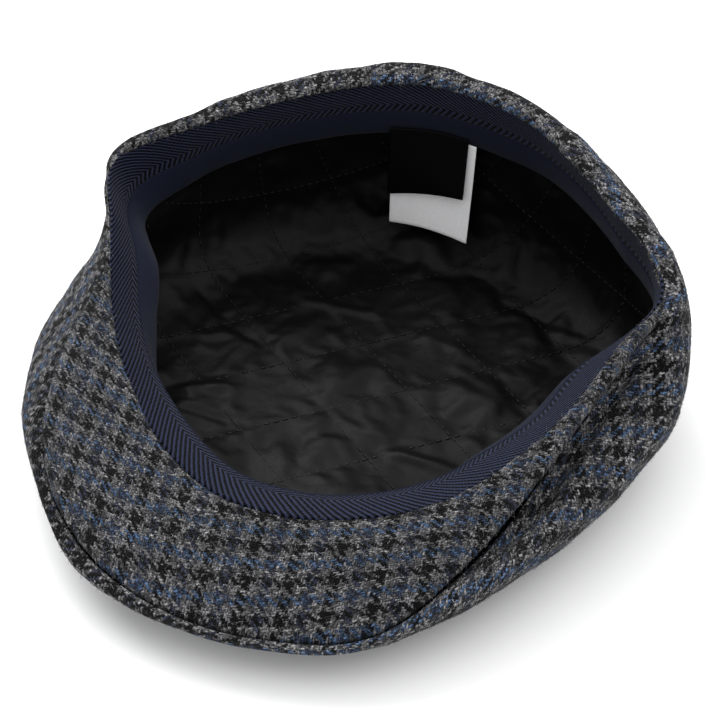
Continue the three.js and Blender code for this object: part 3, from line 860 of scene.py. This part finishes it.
def build_band(herringbone, tape):
    """The sweatband: the herringbone strip, a little bulged, and the plain one that hangs from it."""
    angles = WRAP_AT + np.linspace(0, 360, BAND_COLUMNS + 1)
    top, fold, end, down, away = band_lines(angles)
    along_top = in_space(angles, top[:, None])[:, 0]
    steps = np.linalg.norm(np.diff(along_top, axis=0), axis=1)
    around = np.concatenate([[0], np.cumsum(steps)])
    made = []
    front = np.mod(angles + 180, 360) - 180
    flatter = RIBS_FLATTER * bump_at(np.mod(angles, 360), 270, 32)
    skew = flatter - RIBS_STEEPER * bump_at(front, 5, 52)
    start = top + BAND_DROP * down[0] - 0.3 * away[0]
    tape_across = np.linspace(0, 1, HERRINGBONE_ROWS + 1)
    rows = start[:, None] + (fold - start)[:, None] * tape_across[None, :, None]
    bulge = 0.5 * np.sin(math.pi * tape_across)
    rows = rows - bulge[None, :, None] * away[0][:, None]
    made.append(("band_herringbone", rows, tape_across * (HERRINGBONE_WIDTH - BAND_DROP)))
    plain_across = np.linspace(0, 1, PLAIN_ROWS + 1)
    first = fold - 0.35 * down[1] - 0.15 * away[1]
    rows = first[:, None] + (end - first)[:, None] * plain_across[None, :, None]
    swell = ripple(in_space(angles, end[:, None])[:, 0], 34, 8)
    puff = (0.6 + 0.5 * swell)[:, None] * np.sin(math.pi * plain_across)[None, :]
    rows = rows - puff[..., None] * away[1][:, None]
    made.append(("band_plain", rows, plain_across * PLAIN_WIDTH))
    pieces = []
    for name, rows, across in made:
        points = in_space(angles, rows)
        push = 0.3 * ripple(points, 22, 7)
        points = points - push[..., None] * grid_normals(points)
        points[-1] = points[0]
        skewed = around[:, None] + skew[:, None] * across
        uv = np.stack([skewed, np.broadcast_to(across, skewed.shape)], axis=-1)
        obj = cloth_grid(name, points, uv, wraps=True)
        point_out(obj, lambda centre: -from_axis(centre))
        apply_modifier(obj, "SOLIDIFY", thickness=BAND_CLOTH * MM, offset=-1.0)
        pieces.append(obj)
    finish_piece(pieces[0], herringbone, "band_cotton", "sweatband")
    finish_piece(pieces[1], tape, "band_cotton")
    return pieces


# ---------------------------------------------------------------- the lining

# The lining's floor; how far its edge reaches up behind the band and stands off it; how far it runs
# straight on from there; how far inside its solid it is at its widest, and at what share of its
# height; and how far in it turns to the floor.
LINING_FLOOR = 4.6
LINING_REACH = 5.0
LINING_BEHIND = 2.8
LINING_TUCK = 9.0
LINING_INSIDE = 2.0
LINING_WIDE_AT = 0.42
LINING_TURN = 12.0

# Quilting: each family of stitched lines has a direction in degrees from +X, a spacing and the
# offset of one line from the origin. Lines are numbered from QUILT_FROM to QUILT_TO.
QUILT_LINES = [(35.0, 27.5, 6.2), (-41.5, 30.3, 24.0)]
QUILT_FROM, QUILT_TO = -8, 9
# Steps of the cloth from one line to the next.
QUILT_STEPS = 13

# Sharp folds of the lining, on its flat cut: from, to, height (a groove where negative) and width.
LINING_FOLDS = [
    ((-78, 50), (-49, 29), -2.0, 2.2),
    ((-64, 36), (-42, 26), -1.6, 2.0),
    ((-68, -7), (-42, 4), 2.4, 2.0),
    ((-66, -14), (-38, -13), -1.8, 1.8),
    ((17, -13), (43, -16), 3.4, 1.6),
    ((37, 74), (74, 60), -1.6, 2.4),
    ((-36, 54), (-4, 53), 1.5, 2.2),
    ((52, 20), (66, 42), -1.8, 2.0),
]

# The cloth simulation: its steps, and how far in metres a point may slide, sink and rise.
PUFF_STEPS = 25
PUFF_SLIDE = 0.0025
PUFF_SINK = 0.0006
PUFF_RISE = 0.0055

# Quilting stitches: their pitch, their length, half the thread's thickness, how far in from the
# lining's edge they stop, and how far along their lines they could run.
STITCH_PITCH = 3.4
STITCH_LENGTH = 2.3
STITCH_THREAD = 0.24
STITCH_STOP = 6
STITCH_RUN = 170


def lining_profiles(angles, count):
    """The lining's inner face from the middle of its floor outward and up behind the band, with
    evenly spaced points, and the length of each profile."""
    s = sections(angles)
    _, _, end, down, away = band_lines(angles)
    start = end - LINING_REACH * down[1] + LINING_BEHIND * away[1]
    floor = LINING_FLOOR + 0 * s["rimR"]
    wide_z = floor + LINING_WIDE_AT * (start[:, 1] - floor)
    wide = flat(s["liningR"] - LINING_INSIDE, wide_z)
    foot = flat(np.minimum(s["footR"], wide[:, 0]) - LINING_TURN, floor)
    wall_c = flat(wide[:, 0], wide_z + 0.5 * (start[:, 1] - wide_z))
    wall = bezier(start, start + LINING_TUCK * down[1], wall_c, wide, np.linspace(0, 1, 40))
    turn_b = flat(wide[:, 0], wide_z - ROUND_TURN * (wide_z - floor))
    turn_c = flat(foot[:, 0] + ROUND_TURN * (wide[:, 0] - foot[:, 0]), floor)
    bend = bezier(wide, turn_b, turn_c, foot, np.linspace(0, 1, 30))
    middle = flat(0 * floor, floor)
    path = np.concatenate([wall, bend[:, 1:], middle[:, None]], axis=1)[:, ::-1]
    run = lengths(path)
    total = run[:, -1]
    even = np.empty((len(angles), count, 2))
    for k in range(len(angles)):
        at = np.linspace(0, total[k], count)
        even[k, :, 0] = np.interp(at, run[k], path[k, :, 0])
        even[k, :, 1] = np.interp(at, run[k], path[k, :, 1])
    return even, total


def on_lining(plan):
    """Points of the lining at places of its flat cut, and how far outside its edge each place is."""
    count, step = 160, 2.0
    angles = np.arange(0, 361, step)
    even, total = lining_profiles(angles, count)
    offset = plan - OPENING_MIDDLE
    run = np.linalg.norm(offset, axis=-1)
    angle = np.degrees(np.arctan2(offset[..., 0], -offset[..., 1])) % 360
    column = angle / step
    left = np.floor(column).astype(int) % (len(angles) - 1)
    share = column - np.floor(column)
    edge = total[left] * (1 - share) + total[left + 1] * share
    place = np.clip(run / edge, 0, 1) * (count - 1)
    row = np.minimum(np.floor(place).astype(int), count - 2)
    part = place - row
    rz = 0
    for side, weight in ((left, 1 - share), (left + 1, share)):
        low, high = even[side, row], even[side, row + 1]
        rz = rz + weight[..., None] * (low + (high - low) * part[..., None])
    return around_opening(angle, rz[..., 0], rz[..., 1]), run - edge


def lining_normals(points):
    """Unit normals of the lining's grid, on the side that looks up into the cap."""
    normal = np.cross(np.gradient(points, axis=0), np.gradient(points, axis=1))
    normal /= np.maximum(np.linalg.norm(normal, axis=-1, keepdims=True), 1e-9)
    middle = normal[normal.shape[0] // 2, normal.shape[1] // 2]
    return normal if middle[2] > 0 else -normal


def build_lining(satin):
    """Quilted lining: cut flat, stitched down along two families of lines, and puffed up between
    them by a cloth simulation."""
    (dir_a, gap_a, off_a), (dir_b, gap_b, off_b) = QUILT_LINES
    turns = [math.radians(degrees) for degrees in (dir_a, dir_b)]
    basis = np.array([[-math.sin(a), math.cos(a)] for a in turns])
    lines = np.arange(QUILT_FROM * QUILT_STEPS, QUILT_TO * QUILT_STEPS + 1) / QUILT_STEPS
    ia, ib = np.meshgrid(lines, lines, indexing="ij")
    offsets = np.stack([off_a + gap_a * ia, off_b + gap_b * ib], axis=-1)
    plan = offsets @ np.linalg.inv(basis).T
    points, outside = on_lining(plan)
    points = points + (fold_lining(plan) * smooth(-outside, 2, 12))[..., None] * lining_normals(points)
    obj = cloth_grid("lining_quilted", points, plan)
    keep_in = outside.T.reshape(-1) <= 0.0
    on_line = (np.abs(ia - np.round(ia)) < 0.01) | (np.abs(ib - np.round(ib)) < 0.01)
    stitched = on_line.T.reshape(-1)
    mesh = obj.data
    group = obj.vertex_groups.new(name="sewn")
    group.add([int(i) for i in np.nonzero(stitched & keep_in)[0]], 1.0, "REPLACE")
    select_only(obj)
    bpy.ops.object.mode_set(mode="EDIT")
    bpy.ops.mesh.select_mode(type="FACE")
    bpy.ops.mesh.select_all(action="DESELECT")
    bpy.ops.object.mode_set(mode="OBJECT")
    for face in mesh.polygons:
        face.select = not any(keep_in[v] for v in face.vertices)
    bpy.ops.object.mode_set(mode="EDIT")
    bpy.ops.mesh.delete(type="FACE")
    bpy.ops.mesh.select_mode(type="VERT")
    bpy.ops.object.mode_set(mode="OBJECT")
    point_out(obj, lambda centre: -from_axis(centre) + Vector((0, 0, 0.05)))
    group.add(open_edge(obj), 1.0, "REPLACE")
    puff_lining(obj)
    apply_modifier(obj, "SUBSURF", levels=1, render_levels=1)
    apply_modifier(obj, "SOLIDIFY", thickness=LINING_CLOTH * MM, offset=-1.0)
    finish_piece(obj, satin, "lining_satin", "lining")
    return obj


def open_edge(obj):
    """Numbers of the vertices along the mesh's open edge."""
    uses = {}
    for face in obj.data.polygons:
        for key in face.edge_keys:
            uses[key] = uses.get(key, 0) + 1
    return sorted({v for key, count in uses.items() if count == 1 for v in key})


def fold_lining(plan):
    """Height of the lining's sharp folds at places of its flat cut."""
    height = np.zeros(plan.shape[:-1])
    for start, end, rise, width in LINING_FOLDS:
        start, along = np.array(start), np.array(end) - np.array(start)
        share = ((plan - start) @ along) / (along @ along)
        near = start + np.clip(share, 0, 1)[..., None] * along
        away = np.linalg.norm(plan - near, axis=-1)
        height += rise * np.exp(-away / width) * np.sin(math.pi * np.clip(share, 0.02, 0.98)) ** 0.5
    return height


def build_stitches(thread):
    """The quilting's stitches: short threads along every line, each sunk a little at its ends."""
    places = []
    for k, (degrees, gap, offset) in enumerate(QUILT_LINES):
        a = math.radians(degrees)
        along, across = np.array([math.cos(a), math.sin(a)]), np.array([-math.sin(a), math.cos(a)])
        for number in range(QUILT_FROM, QUILT_TO):
            steps = np.arange(-STITCH_RUN, STITCH_RUN, STITCH_PITCH) + 0.4 * k
            line = across * (offset + gap * number) + steps[:, None] * along
            at, outside = on_lining(line)
            ahead, _ = on_lining(line + STITCH_LENGTH * along)
            places += [(p, q) for p, q, o in zip(at, ahead, outside) if o < -STITCH_STOP]
    first, last = (np.array([pair[k] for pair in places]) for k in (0, 1))
    forward = last - first
    forward /= np.linalg.norm(forward, axis=1)[:, None]
    inward = np.array([*OPENING_MIDDLE, 60.0]) - first
    inward -= np.sum(inward * forward, axis=1)[:, None] * forward
    inward /= np.linalg.norm(inward, axis=1)[:, None]
    side = np.cross(forward, inward)
    # Three rings of four points make each stitch: thin at its two ends and full in the middle.
    rings = []
    for share, size in ((0.0, 0.5), (0.5, 1.0), (1.0, 0.5)):
        spine = first + share * (last - first) + inward * 0.25 * (size - 0.3)
        for sign_side, sign_up in ((1, 0), (0, 1), (-1, 0), (0, -1)):
            rings.append(spine + STITCH_THREAD * size * (sign_side * side + sign_up * inward))
    points = np.stack(rings, axis=1)
    quads = []
    for ring in (0, 4):
        for k in range(4):
            after = (k + 1) % 4
            quads.append((ring + k, ring + after, ring + 4 + after, ring + 4 + k))
    quads += [(3, 2, 1, 0), (8, 9, 10, 11)]
    faces = (12 * np.arange(len(points))[:, None, None] + np.array(quads)[None]).reshape(-1, 4)
    mesh = bpy.data.meshes.new("quilting_stitches")
    mesh.from_pydata((points.reshape(-1, 3) * MM).tolist(), [], faces.tolist())
    finish_piece(add_object("quilting_stitches", mesh), thread, "lining_satin")


def puff_lining(obj):
    """Blows the cloth up a little between its stitched lines, where it also shrinks into puckers."""
    mesh = obj.data
    before = read(mesh.vertices, "co", 3)
    normals = np.array([v.normal[:] for v in mesh.vertices])
    select_only(obj)
    cloth = obj.modifiers.new("Cloth", "CLOTH")
    settings = cloth.settings
    settings.quality = 6
    settings.mass = 0.2
    settings.tension_stiffness = settings.compression_stiffness = settings.shear_stiffness = 12
    settings.bending_stiffness = 0.25
    settings.shrink_min = -0.035
    settings.use_pressure = True
    settings.uniform_pressure_force = 0.8
    settings.effector_weights.gravity = 0.0
    settings.vertex_group_mass = "sewn"
    cloth.collision_settings.use_collision = False
    cloth.point_cache.frame_start = 1
    cloth.point_cache.frame_end = 30
    scene = bpy.context.scene
    for step in range(1, PUFF_STEPS + 1):
        scene.frame_set(step)
    bpy.ops.object.modifier_apply(modifier=cloth.name)
    scene.frame_set(1)
    mesh = obj.data
    moved = read(mesh.vertices, "co", 3) - before
    rise = np.sum(moved * normals, axis=1)
    side = moved - rise[:, None] * normals
    reach = np.linalg.norm(side, axis=1)
    side *= np.minimum(1, PUFF_SLIDE / np.maximum(reach, 1e-9))[:, None]
    rise = np.clip(rise, -PUFF_SINK, PUFF_RISE)
    mesh.vertices.foreach_set("co", (before + side + rise[:, None] * normals).ravel())
    mesh.update()


# ---------------------------------------------------------------- labels

# How far the labels lean into the cap and twist from side to side, in degrees, and how far they
# curl at their lower end.
LABEL_LEAN = 8
LABEL_TWIST = 3
LABEL_CURL = 1.2


def build_label(name, node, material, slot, angle, width, drops, stand_off, rise, slip):
    """A label hanging from the band's lower edge at an angle of the opening. drops are the lengths of
    its two sides as they hang, stand_off and rise place its top, and slip is how many degrees each
    lower corner swings along the band, times its radius."""
    _, _, end, _, _ = band_lines(np.array([float(angle)]))
    radius = end[0, 0]
    half = math.degrees(width / 2 / radius)
    u = np.linspace(-1, 1, 29)[:, None]
    t = np.linspace(0, 1, 33)[None]
    _, _, ends, _, _ = band_lines((angle + u * half)[:, 0])
    share = (u + 1) / 2
    length = drops[0] + (drops[1] - drops[0]) * share
    swing = slip[0] + (slip[1] - slip[0]) * share
    lean = np.radians(LABEL_LEAN - LABEL_TWIST * u)
    curl = LABEL_CURL * np.sin(2.2 * t + 0.8 * u) * t
    r = ends[:, :1] - stand_off - t * length * np.sin(lean) - curl
    z = ends[:, 1:] + rise - t * length * np.cos(lean)
    points = around_opening(angle + (u * half * radius + swing * t) / r, r, z)
    across = (u * width / 2) + 0 * t
    uv = np.stack([across, length * t], axis=-1)
    obj = cloth_grid(name, points, uv)
    point_out(obj, lambda centre: Vector((0, -1, 0)))
    apply_modifier(obj, "SOLIDIFY", thickness=LABEL_CLOTH * MM, offset=-1.0)
    apply_modifier(obj, "BEVEL", width=0.0001, segments=1, limit_method="ANGLE")
    finish_piece(obj, material, slot, node)
    return obj


# ---------------------------------------------------------------- the scene


def build_floor():
    """The white sheet that the cap lies on, just below it."""
    bpy.ops.object.select_all(action="DESELECT")
    bpy.ops.mesh.primitive_plane_add(size=6, location=(0, 0, -0.0003))
    floor = bpy.context.active_object
    floor.name = "floor"
    floor.data.materials.append(floor_material())


def add_light(name, place, size, watts):
    """A round white lamp that shines on the cap."""
    data = bpy.data.lights.new(name, "AREA")
    data.shape = "DISK"
    data.size = size
    data.energy = watts
    light = add_object(name, data)
    light.location = place
    light.rotation_euler = (-Vector(place)).to_track_quat("-Z", "Y").to_euler()


def build_lights():
    """A white room, a large lamp behind the cap's left and a larger one above it."""
    scene = bpy.context.scene
    world = bpy.data.worlds.new("studio")
    world.use_nodes = True
    background = world.node_tree.nodes["Background"]
    background.inputs["Color"].default_value = shade("#ffffff")
    background.inputs["Strength"].default_value = 0.89
    scene.world = world
    add_light("key", (-1.1, 0.8, 1.3), size=1.5, watts=28.0)
    add_light("top", (0.35, 0.4, 1.6), size=2.8, watts=24.0)
    scene.view_settings.view_transform = "Standard"
    scene.view_settings.look = "None"


def build_camera():
    """An 85 mm view from the front right, 44 degrees above the floor."""
    azimuth, elevation, distance = math.radians(16), math.radians(44), 0.567
    target = Vector((0.0059, -0.010, 0.0432))
    level = math.cos(elevation)
    back = Vector((math.sin(azimuth) * level, -math.cos(azimuth) * level, math.sin(elevation)))
    data = bpy.data.cameras.new("camera")
    data.lens = 85
    data.sensor_width = 36
    data.clip_start = 0.01
    camera = add_object("camera", data)
    camera.location = target + back * distance
    camera.rotation_euler = (-back).to_track_quat("-Z", "Y").to_euler()
    bpy.context.scene.camera = camera


def main():
    """Builds the cap's pieces, then the floor, the lights and the camera."""
    tweed = tweed_material()
    build_crown(tweed)
    build_peak(tweed)
    build_band(herringbone_material(), plain_tape_material())
    build_lining(satin_material())
    build_stitches(thread_material("quilting_thread", "#030303"))
    build_label(
        "label_brand_black",
        "label_brand",
        label_material("label_black_tape", "#020203", "#040405", 0.55, 0.06),
        "label_black",
        angle=180.3,
        width=30,
        drops=(24, 29),
        stand_off=2.9,
        rise=4.0,
        slip=(-0.5, 4.0),
    )
    build_label(
        "label_care_white",
        "label_care",
        label_material("label_white_tape", "#ebebed", "#fafafb", 0.45, 0.12),
        "label_white",
        angle=179,
        width=32,
        drops=(40, 40),
        stand_off=1.6,
        rise=1.0,
        slip=(0, 0),
    )
    build_floor()
    build_lights()
    build_camera()


main()
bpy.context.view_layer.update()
